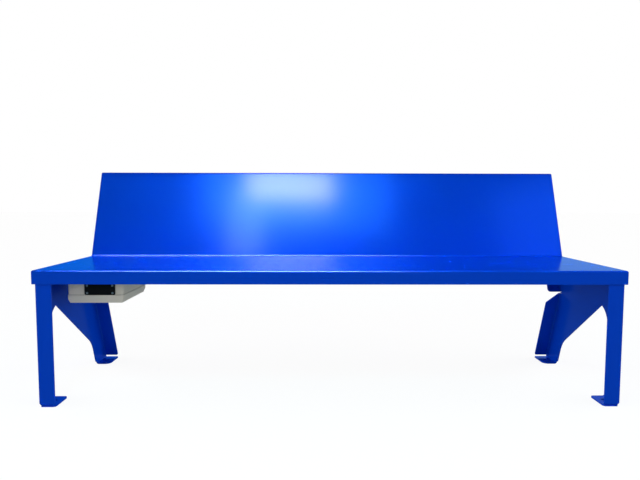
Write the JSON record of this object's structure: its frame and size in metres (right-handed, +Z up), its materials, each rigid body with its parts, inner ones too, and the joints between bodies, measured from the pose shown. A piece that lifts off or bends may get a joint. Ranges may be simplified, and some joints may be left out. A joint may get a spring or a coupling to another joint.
{
  "type": "heated outdoor bench",
  "caption": "Folded sheet-steel bench with a leaning back on two folded end frames; heaters under the seat are fed from a control box below its left end.",
  "frame": {"origin": "on the floor, under the middle of the bench's length and depth", "axes": "+X along the bench, to the right as seen from the front, +Y from the seat's front edge to its back, +Z up"},
  "size_m": [1.927, 0.6218, 0.7932],
  "materials": {
    "blue_coat": "semi-gloss powder coat on steel sheet",
    "zinc_steel": "bright zinc plate",
    "silicone_red": "matt silicone with a fine glass weave",
    "sensor_steel": "satin stainless",
    "insulation_board": "matt mineral fibre board",
    "cover_aluminium": "mill finish sheet",
    "black_rubber": "matt",
    "box_plastic": "fine moulded grain",
    "black_plastic": "fine moulded grain",
    "gland_plastic": "smooth moulded nylon",
    "dark_plastic": "fine moulded grain",
    "light_plastic": "fine moulded grain",
    "dial_plastic": "smooth",
    "terminal_plastic": "smooth",
    "brass": "drawn, satin",
    "wire_plastic": "smooth PVC"
  },
  "bodies": {
    "bench": {"seat_back_panel": "blue_coat", "left_end_frame": "blue_coat", "right_end_frame": "blue_coat", "front_rail": "blue_coat", "rear_rail": "blue_coat", "left_seat_rib": "blue_coat", "right_seat_rib": "blue_coat", "left_back_rib": "blue_coat", "right_back_rib": "blue_coat", "left_knee_gusset": "blue_coat", "right_knee_gusset": "blue_coat", "rail_screws": "zinc_steel", "panel_studs": "zinc_steel", "stud_washers": "zinc_steel", "stud_nuts": "zinc_steel", "left_heater_mat": "silicone_red", "centre_heater_mat": "silicone_red", "right_heater_mat": "silicone_red", "mat_cutouts": "sensor_steel", "left_insulation": "insulation_board", "centre_insulation": "insulation_board", "right_insulation": "insulation_board", "left_seat_cover": "cover_aluminium", "centre_seat_cover": "cover_aluminium", "right_seat_cover": "cover_aluminium", "cover_screws": "zinc_steel", "seat_sensor": "sensor_steel", "sensor_clip": "zinc_steel", "heater_loom": "black_rubber", "loom_grommets": "black_rubber", "box_base": "box_plastic", "box_lid": "box_plastic", "lid_gasket": "black_rubber", "lid_screws": "zinc_steel", "box_screws": "zinc_steel", "box_nuts": "zinc_steel", "front_plate": "black_plastic", "front_plate_gasket": "black_rubber", "front_plate_screws": "zinc_steel", "gland_body": "gland_plastic", "gland_nut": "gland_plastic", "gland_seal": "black_rubber", "gland_locknut": "gland_plastic", "mounting_rail": "zinc_steel", "mounting_rail_screws": "zinc_steel", "power_supply": "dark_plastic", "circuit_breaker": "light_plastic", "thermostat": "light_plastic", "terminal_blocks": "terminal_plastic", "end_clamps": "terminal_plastic", "earth_bar": "brass", "earth_stud": "brass", "earth_nut": "brass", "box_wiring": "wire_plastic"},
    "breaker_lever": {"breaker_lever": "black_plastic"},
    "thermostat_dial": {"thermostat_dial": "dial_plastic"}
  },
  "joints": [
    {"name": "breaker_lever_turn", "type": "hinge", "parent": "bench", "child": "breaker_lever", "pos_m": [-0.794, -0.02502, 0.3528], "axis": [0, -1, 0], "range_deg": [0, 50]},
    {"name": "thermostat_dial_turn", "type": "hinge", "parent": "bench", "child": "thermostat_dial", "pos_m": [-0.794, -0.13232, 0.346], "axis": [0, 0, -1], "range_deg": [0, 270]}
  ]
}
